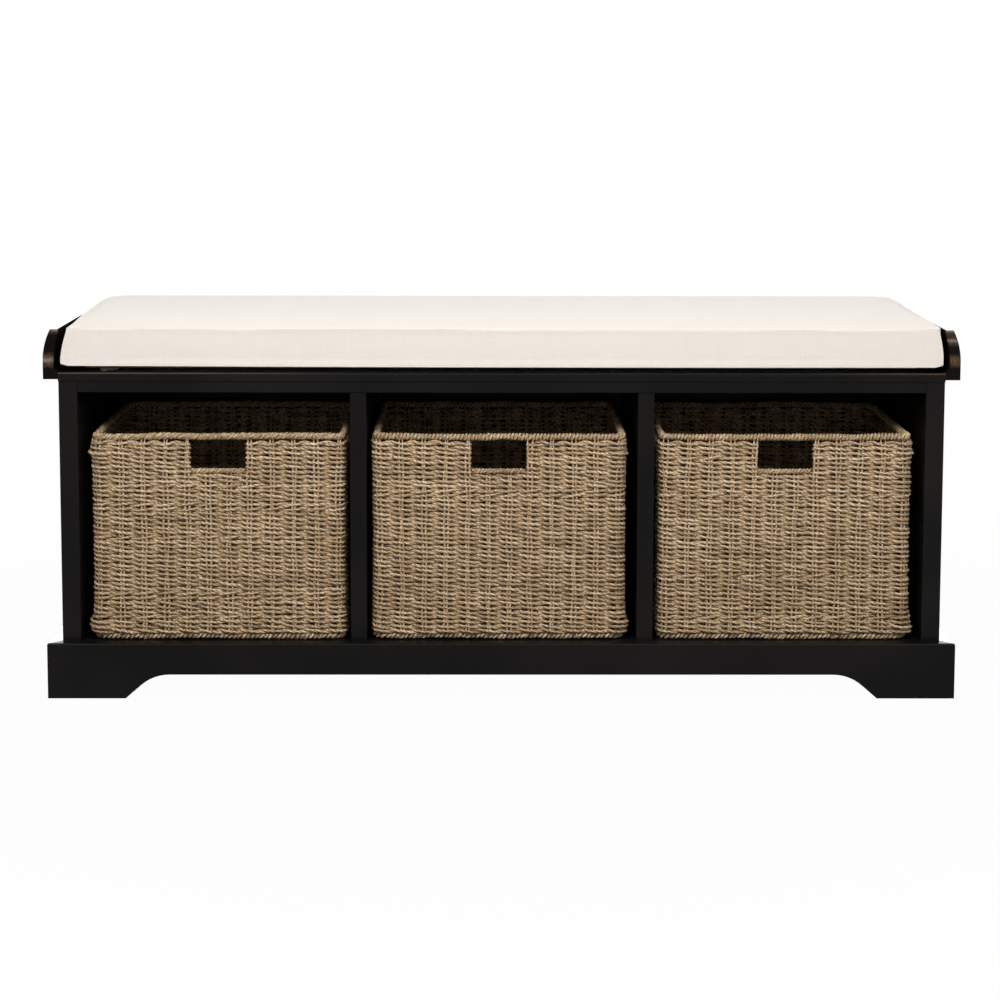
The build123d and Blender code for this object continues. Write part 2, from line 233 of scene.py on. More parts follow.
PAINT = (0.0044, 0.0039, 0.0038)
PAINT_WORN = (0.0088, 0.0078, 0.0075)
# Colours painted on the black paint as highlights: brown, and grey at the bright middle of the arms' bands
HIGHLIGHT_BROWN = (0.118, 0.074, 0.042, 1.0)
HIGHLIGHT_GREY = (0.200, 0.185, 0.190, 1.0)
FRAYED = (0.85, 0.78, 0.70, 1.0)
FRAY_FADE = 0.001
FRAYED_PAD = (-0.5410, -0.5295)
EDGE_HIGHLIGHT = 0.0012
EDGE_FADE = 0.0005
# Painted highlight along stretches of the seat board's top front edge: from, to and fade along X
SEAT_HIGHLIGHTS = ((-1.0, -0.31, 0.13), (0.505, 1.0, 0.12))
seat_low, seat_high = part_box("seat_board")
seat_edge_highlights = []
for start, stop, fade in SEAT_HIGHLIGHTS:
    seat_edge_highlights.append(((start, seat_low[1] - EDGE_HIGHLIGHT, seat_high[2] - EDGE_HIGHLIGHT),
                      (stop, seat_low[1] + EDGE_HIGHLIGHT, seat_high[2] + EDGE_HIGHLIGHT),
                      (fade, EDGE_FADE, EDGE_FADE), HIGHLIGHT_BROWN))
# Painted highlight bands across the front of the arms: share of the height, reach of the brown and of the
# grey in it
ARM_HIGHLIGHTS = {"arm_left": ((1.0, 0.0045, 0.0025), (0.38, 0.0075, 0.0025)),
            "arm_right": ((1.0, 0.0045, 0.0020), (0.79, 0.0050, 0.0015), (0.385, 0.0060, 0.0))}
BROWN_FADE = 0.005
GREY_FADE = 0.0015
BAND_MARGIN = 0.01
BAND_DEPTH = 0.004
arm_highlight_bands = []
for arm, bands in ARM_HIGHLIGHTS.items():
    arm_low, arm_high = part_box(arm)
    for share, brown, grey in bands:
        height = arm_low[2] + share * (arm_high[2] - arm_low[2])
        for reach, fade, showing in ((brown, BROWN_FADE, HIGHLIGHT_BROWN), (grey, GREY_FADE, HIGHLIGHT_GREY)):
            if reach:
                arm_highlight_bands.append(((arm_low[0] - BAND_MARGIN, arm_low[1] - BAND_MARGIN, height - reach),
                                  (arm_high[0] + BAND_MARGIN, arm_low[1] + BAND_DEPTH, height + reach),
                                  (BROWN_FADE, BAND_DEPTH, fade), showing))
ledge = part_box("plinth_left")[1][2]
paint_nodes(black_paint("black_paint_level", "x"), "top_panel", "bottom_shelf", "plinth_front", "back_rail")
paint_nodes(black_paint("black_paint_upright", "z"), "divider_left", "divider_right")
paint_nodes(black_paint("black_paint_deep", "y", shiny_above=ledge), "plinth_left", "plinth_right")
# The seat board, the side panels and the arms get brighter copies of the paint (tone): painted light
paint_nodes(black_paint("black_paint_seat", "x", seat_edge_highlights, tone=1.1), "seat_board")
paint_nodes(black_paint("black_paint_sides", "z", tone=1.25), "side_panel_left", "side_panel_right")
paint_nodes(black_paint("black_paint_arms", "y", arm_highlight_bands, arm_high[2], gloss=0.0, tone=1.6),
            "arm_left", "arm_right")
paint_nodes(black_paint("black_board", "z"), "back_panel")
paint_nodes(bare_wood("bare_pine", (0.62, 0.45, 0.27, 1.0), (0.47, 0.31, 0.16, 1.0)), "corner_blocks")
paint_nodes(bare_wood("beech", (0.66, 0.48, 0.31, 1.0), (0.54, 0.36, 0.22, 1.0)),
            "panel_dowels", "arm_dowels")
paint_nodes(plated_metal("zinc", (0.60, 0.60, 0.62, 1.0), 0.35), "cam_locks", "cam_bolts")
paint_nodes(plated_metal("screw_steel", (0.55, 0.54, 0.50, 1.0), 0.25),
            "seat_screws", "plinth_screws", "back_screws")
paint_nodes(hook_tape("hook_tape", (0.008, 0.008, 0.008, 1.0), (0.022, 0.021, 0.020, 1.0), FRAYED_PAD),
            "hook_pads")
paint_nodes(hook_tape("loop_tape", (0.45, 0.42, 0.39, 1.0), (0.75, 0.72, 0.68, 1.0)), "loop_pads")


def new_piece(name, mesh):
    """Puts a mesh in the scene as the one piece that is selected and active."""
    piece = bpy.data.objects.new(name, mesh)
    bpy.context.scene.collection.objects.link(piece)
    bpy.ops.object.select_all(action="DESELECT")
    piece.select_set(True)
    bpy.context.view_layer.objects.active = piece
    return piece


# Baskets: every cord of the twined walls, the wrapped rims and borders and the mat in the base

CORD_RADIUS = 0.0021
CORD_STEP = 0.0048
CORD_SWING = 0.0030
CORD_RISE = 0.0016
CORD_WANDER = 0.0009
ROW_PITCH = 0.0064
ROW_WAVE = 0.0014
ROW_WAVE_STEP = 0.09
RIM_GAP = 0.0008
TOP_ARCH = 0.0016
STAKE_GAP = 0.0297
STAKE_RADIUS = 0.0017
STAKE_APART = 0.0021
STAKE_OUT = 0.0018
STAKE_SWAY = 0.0018
STAKE_TUCK = 0.004
WALL_THICKNESS = 0.008
WALL_CORNER = 0.014
WALL_FLARE = 0.002
# How far cords stand off the wall's corners: at all four, at the roomy one, near its foot, in a loose row
CORNER_LOOSE = 0.0012
ROOMY_LOOSE = 0.0015
FOOT_BULGE = 0.0055
FOOT_HEIGHT = 0.012
LOOSE_ROW = 3
LOOSE_TURN = 0.0035
CORNER_REACH = 0.010
BASE_PITCH = 0.0042
BASE_MARGIN = 0.003
BASE_WAVE = 0.0017
ROPE_RADIUS = 0.0050
ROPE_CORNER = 0.012
ROPE_SAG = 0.0009
ROPE_SAG_STEP = 0.045
ROPE_OVERLAP = 0.01
# Rim ropes as the three baskets have them: strands, lay of one strand, its radius
RIM_LAYS = {"left": (3, 0.0118, 0.0022), "middle": (1, 0.0048, 0.0019), "right": (1, 0.0046, 0.0019)}
BORDER_LAY = (2, 0.0120, 0.0021)
BORDER_PROUD = 0.0020
# The border rope's tint is lifted: painted light on a rope that sits in shade under the bottom row
BORDER_PAINTED_LIGHT = 0.6
BINDING_LAY = (2, 0.0092, 0.0020)
BINDING_RADIUS = 0.0040
BINDING_SAG = 0.0022


def path_length(path):
    """How far along a path each of its points is."""
    return np.concatenate([[0.0], np.cumsum(np.linalg.norm(np.diff(path, axis=0), axis=1))])


def wavy(rng, along, step, size):
    """Random values that drift along a cord: a new one each step, within plus or minus size."""
    knots = np.arange(along.min() - step, along.max() + 2 * step, step)
    return np.interp(along, knots, rng.uniform(-size, size, len(knots)))


class Ring:
    """Rounded rectangle in plan, measured from the middle of its front towards the right."""

    def __init__(self, low, high, inset, radius):
        self.middle = (low + high) / 2
        flat_x, flat_y = (high - low)[:2] / 2 - inset - radius
        corner = math.pi * radius / 2
        runs = [0, flat_x, corner, 2 * flat_y, corner, 2 * flat_x, corner, 2 * flat_y, corner, flat_x]
        self.radius = radius
        self.marks = np.cumsum(runs)
        self.length = self.marks[-1]
        self.turns = np.radians([-90, -90, 0, 0, 90, 90, 180, 180, 270, 270])
        self.xs = flat_x * np.array([0, 1, 1, 1, 1, -1, -1, -1, -1, 0])
        self.ys = flat_y * np.array([-1, -1, -1, 1, 1, 1, 1, -1, -1, -1])
        self.corners = (self.marks[1:9:2] + self.marks[2:9:2]) / 2

    def at(self, along, out, height):
        """Points at a distance along the ring, moved outwards by out, and the outward directions."""
        along = along % self.length
        turn = np.interp(along, self.marks, self.turns)
        outward = np.stack([np.cos(turn), np.sin(turn), 0 * turn], 1)
        x = self.middle[0] + np.interp(along, self.marks, self.xs) + (self.radius + out) * outward[:, 0]
        y = self.middle[1] + np.interp(along, self.marks, self.ys) + (self.radius + out) * outward[:, 1]
        return np.stack([x, y, height + 0 * x], 1), outward

    def near_corners(self, along, sizes, reach):
        """A bulge of the given size at each corner, from the front right one round to the front left."""
        away = (along % self.length)[:, None] - self.corners
        return (sizes * np.exp(-(away / reach) ** 2 / 2)).sum(axis=1)


class Strands:
    """Gathers round strands into one mesh, with UVs along and round them and a tint for each."""

    def __init__(self):
        self.points = []
        self.faces = []
        self.uvs = []
        self.tints = []
        self.count = 0

    def add(self, path, side, radius, tint, sides=6):
        """A strand along path, closed to a point at both ends. side is a direction across it."""
        run = np.gradient(path, axis=0)
        out = np.cross(run, side)
        out /= np.linalg.norm(out, axis=1)[:, None]
        up = np.cross(out, run)
        up /= np.linalg.norm(up, axis=1)[:, None]
        radius = radius * np.ones(len(path))
        radius[[0, -1]] = 0.0
        turn = np.linspace(0, 2 * math.pi, sides, endpoint=False)
        rings = np.cos(turn)[None, :, None] * out[:, None] + np.sin(turn)[None, :, None] * up[:, None]
        rings = path[:, None] + radius[:, None, None] * rings
        ring, place = np.meshgrid(np.arange(len(path) - 1), np.arange(sides), indexing="ij")
        corners = [(ring, place), (ring + 1, place), (ring + 1, place + 1), (ring, place + 1)]
        reach = path_length(path)
        faces = [self.count + r * sides + p % sides for r, p in corners]
        uvs = [np.stack([reach[r], p / sides], -1) for r, p in corners]
        self.points.append(rings.reshape(-1, 3))
        self.faces.append(np.stack(faces, -1).reshape(-1, 4))
        self.uvs.append(np.stack(uvs, 2).reshape(-1, 2))
        self.tints.append(np.repeat(tint * np.ones(len(path)), sides))
        self.count += len(path) * sides

    def build(self, name, material, body, *nodes):
        mesh = bpy.data.meshes.new(name)
        mesh.from_pydata(np.concatenate(self.points).tolist(), [], np.concatenate(self.faces).tolist())
        mesh.uv_layers.new(name="UVMap").data.foreach_set("uv", np.concatenate(self.uvs).ravel())
        tint = mesh.attributes.new("tint", "FLOAT", "POINT")
        tint.data.foreach_set("value", np.concatenate(self.tints))
        mesh.materials.append(material)
        piece = new_piece(name, mesh)
        bpy.ops.object.mode_set(mode="EDIT")
        bpy.ops.mesh.select_all(action="SELECT")
        bpy.ops.mesh.remove_doubles(threshold=1e-6)
        bpy.ops.object.mode_set(mode="OBJECT")
        bpy.ops.object.shade_smooth()
        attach(piece, body)
        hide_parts(*nodes)


def seagrass():
    """Dry twisted seagrass: two plies laid round each other, fibres along them, straw to olive brown."""
    finish = Finish("seagrass")
    uv = finish.node("ShaderNodeUVMap", {"uv_map": "UVMap"})
    along, around, _ = finish.split(uv)
    tint = finish.node("ShaderNodeAttribute", {"attribute_name": "tint"}, out="Fac")
    drift = finish.noise(finish.place(), 110.0, 3.0)
    ply = finish.node("ShaderNodeMath", {"operation": "SINE"},
                      {0: along * 760.0 + around * 4 * math.pi + drift * 8.0})
    fibres = finish.noise(finish.node("ShaderNodeMapping", {}, {"Vector": uv, "Scale": (170.0, 7.0, 1.0)}),
                          4.0, 4.0, 0.7)
    blotch = finish.noise(finish.place(), 55.0, 3.0, 0.6)
    # Painted glints: tiny near-white spots standing in for highlights on the fibres
    glint_spots = finish.noise(finish.place(), 620.0, 1.0)
    # Painted shade: the grass is darker towards the bottom of the basket
    lower = 1.0 - finish.split(finish.place())[2].ramp(0.05, 0.36)
    shade = (tint * 0.5 + blotch * 0.5 + fibres * 1.2 - lower * 0.11 - 0.55).clamped()
    dark = (0.105, 0.062, 0.027, 1.0)
    middle = (0.540, 0.375, 0.213, 1.0)
    pale = (0.830, 0.645, 0.420, 1.0)
    glint_colour = (0.880, 0.830, 0.740, 1.0)
    colour = finish.mix(shade.ramp(0.05, 0.5), dark, middle)
    colour = finish.mix(shade.ramp(0.5, 0.95), colour, pale)
    # Painted shade: the grooves between the two plies are darkened
    colour = finish.mix(0.75 * (1.0 - ply.ramp(-1.0, -0.2)), colour, dark)
    return finish.shade({
        "Base Color": finish.mix(glint_spots.ramp(0.64, 0.70), colour, glint_colour),
        "Roughness": fibres * 0.25 + 0.45,
        "Specular IOR Level": 0.35,
        "Normal": finish.bump(ply * 0.4 + fibres * 0.7, 0.9, 0.0011)})


def wrapped_rope(strands, rng, ring_at, span, lay, outside, pale=0.0):
    """Strands laid round a core, rising to the right as seen from outside. lay: how many, pitch, radius."""
    count, pitch, radius = lay
    along = np.arange(span[0], span[1], pitch / 11)
    path, outward = ring_at(along)
    run = np.gradient(path, axis=0)
    core = outside - radius
    strands.add(path[::4], outward[::4], 0.95 * core, 0.15)
    up = np.array([0.0, 0.0, 1.0])
    for number in range(count):
        turn = 2 * math.pi * (along / pitch + number / count) + wavy(rng, along, 0.014, 0.45)
        reach = core * (1 + wavy(rng, along, 0.012, 0.16))[:, None]
        offset = reach * (np.cos(turn)[:, None] * outward + np.sin(turn)[:, None] * up)
        # pale lifts the tint: painted light where a rope sits in shade
        tint = 0.62 + pale - 0.15 * (number % 2) + wavy(rng, along, 0.01 * count, 0.38)
        strands.add(path + offset, run, radius * (1 + wavy(rng, along, 0.01, 0.15)), tint)


def twined_walls(rng, body, low, high, hole_half, hole_bottom, roomy, material):
    """Rows of two cords twined round stake pairs, turned back at the handle hole, loose at the corners."""
    wall = Ring(low, high, WALL_FLARE + WALL_THICKNESS / 2, WALL_CORNER)
    rows = round((high[2] - RIM_GAP - low[2]) / ROW_PITCH)
    pitch = (high[2] - RIM_GAP - low[2]) / rows
    edge = hole_half + CORD_SWING + CORD_RADIUS
    under_hole = round(2 * edge / STAKE_GAP)
    stakes = 2 * round(wall.length / STAKE_GAP / 2)
    places = [-edge, edge, wall.length - edge, wall.length + edge]
    counts = [0, under_hole, stakes, stakes + under_hole]
    gap = wall.length / stakes
    slow_knots = np.arange(0, 2 * wall.length, ROW_WAVE_STEP)
    slow_wave = rng.uniform(-ROW_WAVE, ROW_WAVE, (len(slow_knots), 2))
    back = wall.length / 2

    def spread(height):
        return WALL_FLARE * (2 * (height - low[2]) / (high[2] - low[2]) - 1) ** 2

    def cord(along, hand, row, slant, arch):
        """One cord's places: it swings through the wall between stakes, and may arch up there."""
        phase = math.pi * (np.interp(along % wall.length, places, counts) + row)
        out = hand * CORD_SWING * np.cos(phase) * (1 + wavy(rng, along, gap, 0.2))
        climb = np.sin(phase) * np.abs(np.sin(phase)) * (1 + wavy(rng, along, gap, 0.45))
        level = row / rows
        drift = [np.interp(along % wall.length, slow_knots, wave) for wave in slow_wave.T]
        rise = slant * hand * CORD_RISE * climb + arch * (0.5 - np.cos(phase) ** 2)
        rise = rise + wavy(rng, along, 1.1 * gap, CORD_WANDER)
        rise = rise + 2 * level * (1 - level) * (drift[0] * (1 - level) + drift[1] * level)
        return along, out, rise

    halves = [Strands(), Strands()]
    for row in range(rows):
        strands = halves[2 * row // rows]
        height = low[2] + (row + 0.5) * pitch
        slant = rng.choice((-1.0, 1.0), p=(0.85, 0.15))
        loose = rng.uniform(0.0, CORNER_LOOSE, 4)
        above_foot = (height - low[2]) / FOOT_HEIGHT - 1
        loose[roomy] += rng.uniform(0.0, ROOMY_LOOSE) + FOOT_BULGE * math.exp(-above_foot ** 2)
        if row == rows - LOOSE_ROW:
            loose[roomy] += LOOSE_TURN
        arch = TOP_ARCH if row == rows - 1 else 0.0
        split = height > hole_bottom
        if split:
            ends = (edge, wall.length - edge)
        else:
            ends = (back - 2 * CORD_STEP, back + wall.length + 2 * CORD_STEP)
        along = np.linspace(*ends, int((ends[1] - ends[0]) / CORD_STEP))
        runs = [cord(along, hand, row, slant, arch) for hand in (1, -1)]
        if split:
            runs = [turned_back(runs, back)]
        for place, out, rise in runs:
            bulge = wall.near_corners(place, loose, CORNER_REACH)
            path, _ = wall.at(place, out + bulge + spread(height), height + rise)
            reach = path_length(path)
            # The tint holds painted shade and light: a cord is darker where it runs in behind the stakes
            # and lighter where it comes out in front
            tint = 0.5 + wavy(rng, reach, 0.05, 0.5) + 0.25 * out / CORD_SWING
            # A cord is pulled thin over the stakes
            pulled = 1.14 - 0.28 * np.abs(out) / CORD_SWING
            radius = CORD_RADIUS * pulled * (1 + wavy(rng, reach, 0.016, 0.18))
            strands.add(path, (0, 0, 1), radius, tint)
    for stake in range(stakes):
        place = np.interp(stake, counts, places)
        top = hole_bottom if abs(place) < hole_half else high[2] + STAKE_TUCK
        height = np.linspace(low[2] - STAKE_TUCK, top, 34)
        for shift in (-STAKE_APART, STAKE_APART):
            sway = wavy(rng, height, 0.03, STAKE_SWAY)
            path, outward = wall.at(place + shift + sway, STAKE_OUT + spread(height), height)
            halves[stake % 2].add(path, outward, STAKE_RADIUS, 0.75 + wavy(rng, height, 0.05, 0.25), 5)
    for half, part in zip(halves, ("lower", "upper")):
        half.build(f"{body}_weave_{part}", material, body, f"{body}_weave")


def turned_back(runs, back):
    """Joins a row's two cords round the stakes beside the hole, into one that starts at the back."""
    (along, out, rise), (_, other_out, other_rise) = runs
    bend = np.linspace(0, math.pi, 7)[1:-1]
    far = (along[-1] + abs(out[-1]) * np.sin(bend), out[-1] * np.cos(bend),
           np.linspace(rise[-1], other_rise[-1], len(bend)))
    near = (along[0] - abs(out[0]) * np.sin(bend), -out[0] * np.cos(bend),
            np.linspace(other_rise[0], rise[0], len(bend)))
    first, second = along >= back, along <= back + 2 * CORD_STEP
    pieces = [(along[first], out[first], rise[first]), far,
              (along[::-1], other_out[::-1], other_rise[::-1]), near,
              (along[second], out[second], rise[second])]
    return [np.concatenate(values) for values in zip(*pieces)]


def edge_rope(rng, body, part, box, lay, material, pale=0.0, proud=0.0):
    """The rope round the top or the bottom of a basket, a little uneven, with ends lapped at the back."""
    low, high = box
    edge = Ring(low, high, ROPE_RADIUS, ROPE_CORNER)
    rope = Strands()
    level = (low[2] + high[2]) / 2 + proud / 2
    knots = np.arange(0, 2 * edge.length, ROPE_SAG_STEP)
    sag = rng.uniform(-ROPE_SAG, ROPE_SAG, (len(knots), 2))

    def along_edge(along):
        out, lift = (np.interp(along % edge.length, knots, wave) for wave in sag.T)
        return edge.at(along, proud + out, level + lift)

    span = (edge.length / 2, 1.5 * edge.length + ROPE_OVERLAP)
    wrapped_rope(rope, rng, along_edge, span, lay, ROPE_RADIUS, pale)
    rope.build(f"{body}_{part}_rope", material, body, f"{body}_{part}")


def hole_binding(rng, body, box, material):
    """The wrapped rope along the lower edge of the handle hole, down on the row below it."""
    low, high = box
    middle = (low + high) / 2
    half = (high[0] - low[0]) / 2
    rope = Strands()

    def along_hole(along):
        flat = np.zeros(len(along))
        path = np.stack([middle[0] + along, middle[1] + flat, middle[2] - BINDING_SAG + flat], 1)
        return path, np.tile([0.0, -1.0, 0.0], (len(along), 1))

    wrapped_rope(rope, rng, along_hole, (-half, half), BINDING_LAY, BINDING_RADIUS)
    rope.build(f"{body}_binding_rope", material, body, f"{body}_binding")


def base_mat(rng, body, box, material):
    """The woven base: close rows over and under stakes that run from front to back."""
    mat = Strands()
    low, high = box
    level = (low[2] + high[2]) / 2
    for row, y in enumerate(np.arange(low[1] - BASE_MARGIN, high[1] + BASE_MARGIN, BASE_PITCH)):
        x = np.arange(low[0] - BASE_MARGIN, high[0] + 2 * BASE_MARGIN, CORD_STEP)
        z = level + BASE_WAVE * np.cos(math.pi * ((x - low[0]) / STAKE_GAP + row))
        path = np.stack([x, y + wavy(rng, x, STAKE_GAP, 0.0006), z], 1)
        mat.add(path, (0, 0, 1), 1.25 * CORD_RADIUS, 0.5 + wavy(rng, x, 0.055, 0.45))
    for x in np.arange(low[0] + STAKE_GAP, high[0] - STAKE_GAP / 2, STAKE_GAP):
        y = np.linspace(low[1] + STAKE_TUCK, high[1] - STAKE_TUCK, 30)
        path = np.stack([x + 0 * y, y, level + 0 * y], 1)
        mat.add(path, (0, 0, 1), STAKE_RADIUS, 0.45 + wavy(rng, y, 0.05, 0.3), 5)
    mat.build(f"{body}_base_mat", material, body, f"{body}_base")


def basket(label, number, material):
    """One basket in cords and ropes, in place of its five solids."""
    rng = np.random.default_rng(31 + number)
    body = f"basket_{label}"
    box = {part: [np.array(corner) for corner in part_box(f"{body}_{part}")]
           for part in ("weave", "base", "rim", "border", "binding")}
    hole_low, hole_high = box["binding"]
    hole_half = (hole_high[0] - hole_low[0]) / 2
    # The corner with the most room beside it: the front left one, or else the front right one
    roomy = 3 if label == "left" else 0
    twined_walls(rng, body, *box["weave"], hole_half, hole_low[2], roomy, material)
    edge_rope(rng, body, "rim", box["rim"], RIM_LAYS[label], material)
    edge_rope(rng, body, "border", box["border"], BORDER_LAY, material, BORDER_PAINTED_LIGHT, BORDER_PROUD)
    hole_binding(rng, body, box["binding"], material)
    base_mat(rng, body, box["base"], material)


grass = seagrass()
for number, label in enumerate(BASKETS):
    basket(label, number, grass)


# Cushion: the outside of its cover, swelled by simulation and then shaped

def cushion_cloth():
    """Off-white plain-weave cotton: threads across each other, and slubs in both directions."""
    finish = Finish("cushion_cloth")
    thread = 2 * math.pi / 0.0011
    waves = [finish.node("ShaderNodeMath", {"operation": "SINE"}, {0: axis * thread})
             for axis in finish.split(finish.place())]
    weave = waves[0] * waves[1] + waves[0] * waves[2] + waves[1] * waves[2]
    slub = finish.noise(finish.place((30.0, 900.0, 900.0)), 1.0, 2.0)
    cross_slub = finish.noise(finish.place((900.0, 30.0, 30.0)), 1.0, 2.0)
    cloud = finish.noise(finish.place(), 5.0, 2.0)
    tone = (slub * 0.35 + cross_slub * 0.35 + cloud * 0.3).ramp(0.3, 0.7)
    return finish.shade({
        "Base Color": finish.mix(tone, (0.855, 0.818, 0.775, 1.0), (0.900, 0.868, 0.828, 1.0)),
        "Roughness": 0.9 - 0.1 * slub,
        "Specular IOR Level": 0.2,
        "Sheen Weight": 0.15,
        "Sheen Roughness": 0.5,
        "Normal": finish.bump(weave * 0.5 + slub * 0.3 + cross_slub * 0.3, 0.35, 0.0004)})


CUSHION_VOXEL = 0.0065
CUSHION_SLACK = 0.0012
CUSHION_SWELL = 0.003
SWELL_STEPS = 20
SWELL_ACROSS = (0.4, 0.3)
SWELL_DOWN = 0.001
FRONT_BAND = 0.004
CREASE_DEGREES = 38
CUSHION_LEAN = 0.010
CUSHION_BELLY = 0.0025
BELLY_REACH = 0.02
CORNER_ROUND = 0.018
EDGE_ROUND = 0.009
# How square the upright corners, the top edges and the lower edges are: 2 is round
CORNER_POWER = 8
TOP_POWER = 6
SOLE_POWER = 10
FRONT_LIFT = 0.0012
TOP_WEDGE = 0.0095
TOP_CROWN = 0.0045
CROWN_ENDS = 0.045
CROWN_FRONT = 0.120
CROWN_BACK = 0.045
END_ROOM = 0.0006
END_BULGE = 0.0085
# Where along the depth each end fills out towards its arm
END_FILLS = {-1: (-0.140, 0.020), 1: (-0.205, -0.165)}
FILL_REACH = 0.05
TOP_START = 0.004
TOP_BLEND = 0.006
SOLE_FLAT = 0.030
SOLE_BLEND = 0.02
SOLE_RIM = 0.01
SOLE_DROP = 0.0015
SOLE_TILT = 0.0006
CORNER_LIFT = 0.0030
CORNER_SOFT = 0.0050


def apply_modifier(piece, kind, **settings):
    made = piece.modifiers.new(kind.lower(), kind)
    for key, value in settings.items():
        setattr(made, key, value)
    bpy.ops.object.modifier_apply(modifier=made.name)


def places_of(piece):
    return np.array([vertex.co for vertex in piece.data.vertices])


def outer_shell(node, name):
    """A copy of the outside of a hollow node."""
    piece = new_piece(name, frame["nodes"][node].data.copy())
    piece.data.materials.clear()
    bpy.ops.object.mode_set(mode="EDIT")
    bpy.ops.mesh.select_mode(type="VERT")
    bpy.ops.mesh.select_all(action="SELECT")
    bpy.ops.mesh.remove_doubles(threshold=1e-5)
    bpy.ops.mesh.select_all(action="DESELECT")
    bpy.ops.object.mode_set(mode="OBJECT")
    piece.data.vertices[int(np.argmax(places_of(piece)[:, 0]))].select = True
    bpy.ops.object.mode_set(mode="EDIT")
    bpy.ops.mesh.select_linked()
    bpy.ops.mesh.select_all(action="INVERT")
    bpy.ops.mesh.delete(type="VERT")
    bpy.ops.object.mode_set(mode="OBJECT")
    return piece


def swelled(piece, rest):
    """Where rest goes when the cover is blown up a little, held to a few millimetres."""
    cloth = piece.modifiers.new("swell", "CLOTH")
    cloth.settings.quality = 6
    cloth.settings.mass = 0.25
    cloth.settings.tension_stiffness = 20
    cloth.settings.compression_stiffness = 20
    cloth.settings.bending_stiffness = 0.6
    cloth.settings.use_pressure = True
    cloth.settings.uniform_pressure_force = 4.0
    cloth.settings.effector_weights.gravity = 0.0
    for step in range(SWELL_STEPS):
        bpy.context.scene.frame_set(step + 1)
    bpy.ops.object.modifier_apply(modifier="swell")
    bpy.context.scene.frame_set(1)
    move = places_of(piece) - rest
    far = np.linalg.norm(move, axis=1)
    move *= np.minimum(1.0, CUSHION_SWELL / np.maximum(far, 1e-9))[:, None]
    move[:, :2] *= SWELL_ACROSS
    move[:, 2] = np.maximum(move[:, 2], -SWELL_DOWN)
    return rest + move


def eased(share):
    """0 to 1, with a slow start and end."""
    share = np.clip(share, 0.0, 1.0)
    return share * share * (3 - 2 * share)


def arched(edge, run, power=2.5):
    """0 at an edge, rising to 1 at a distance of run from it."""
    return 1 - (1 - np.clip(edge / run, 0.0, 1.0)) ** power


def squared(first, second, power):
    """Pushes out a rounded corner whose two sides are at 1, until it is nearly square."""
    rounded = np.maximum(first, 0.0), np.maximum(second, 0.0)
    square = (rounded[0] ** power + rounded[1] ** power) ** (1 / power)
    grow = np.hypot(*rounded) / np.maximum(square, 1e-9)
    corner = (first > 0) & (second > 0)
    pushed = [np.maximum(value, np.minimum(value * grow, 1.0)) for value in (first, second)]
    return [np.where(corner, new, old) for new, old in zip(pushed, (first, second))]


def squared_edge(first, first_face, second, second_face, power, size=EDGE_ROUND):
    """Squares the rounded edge of the given size where two faces meet."""
    past_first = (first - first_face) / size + 1
    past_second = (second - second_face) / size + 1
    past_first, past_second = squared(past_first, past_second, power)
    return first_face + size * (past_first - 1), second_face + size * (past_second - 1)


def cushion_shape(spots, low, high, sole, shoulder):
    """Flat sides, square corners and edges, ends filled out, and a top that rises to the back."""
    middle, half = (low + high) / 2, (high - low) / 2
    side = np.sign(spots - middle)
    x, y, z = np.abs(spots - middle).T
    z = spots[:, 2]
    x *= (half[0] + END_ROOM) / x.max()
    y *= half[1] / y.max()
    up = np.clip((z - sole) / (shoulder - sole), 0.0, 1.0)
    belly = CUSHION_BELLY * (2 * up - 1) ** 2
    y += belly * np.clip(1 - (half[1] - y) / BELLY_REACH, 0.0, 1.0)
    end = half[0] + END_ROOM - CUSHION_LEAN * up + CUSHION_BELLY - belly
    x, y = squared_edge(x, end, y, half[1], CORNER_POWER, CORNER_ROUND)
    inset = half[0] - CUSHION_LEAN - x
    depth = side[:, 1] * y
    fill = np.zeros(len(x))
    for hand, (empty, full) in END_FILLS.items():
        fill += END_BULGE * up * eased((depth - empty) / (full - empty)) * (side[:, 0] == hand)
    x += fill * np.clip(1 - (half[0] - x) / FILL_REACH, 0.0, 1.0)
    crown = TOP_CROWN * arched(half[1] + depth, CROWN_FRONT, 1.5) * arched(inset, CROWN_ENDS)
    wedge = TOP_WEDGE * (depth + half[1]) / (2 * half[1])
    top = shoulder + arched(half[1] - depth, CROWN_BACK) * (FRONT_LIFT + wedge + crown)
    z = z + np.clip((z - shoulder + TOP_START) / TOP_BLEND, 0.0, 1.0) * (top - z)
    x, z = squared_edge(x, end + fill, z, top, TOP_POWER)
    inside = np.minimum(half[0] - x, half[1] - y)
    z = np.where(z < sole, sole + (z - sole) * np.clip(inside / SOLE_FLAT, 0.0, 1.0) ** 3, z)
    y, below = squared_edge(y, half[1], -z, -sole, SOLE_POWER)
    y, z = squared_edge(y, half[1], -below, shoulder + FRONT_LIFT, TOP_POWER)
    across = side[:, 0] * x / half[0]
    drop = SOLE_DROP * (1 - 0.6 * across ** 2) + SOLE_TILT * across
    drop -= CORNER_LIFT * np.exp(-((half[0] - x) ** 2 + (half[1] - y) ** 2) / CORNER_SOFT ** 2)
    near_sole = np.clip((sole + SOLE_BLEND - z) / SOLE_BLEND, 0.0, 1.0)
    z = z - drop * near_sole * np.clip(2 - inside / SOLE_RIM, 0.0, 1.0)
    return np.stack([middle[0] + side[:, 0] * x, middle[1] + side[:, 1] * y, z], 1)


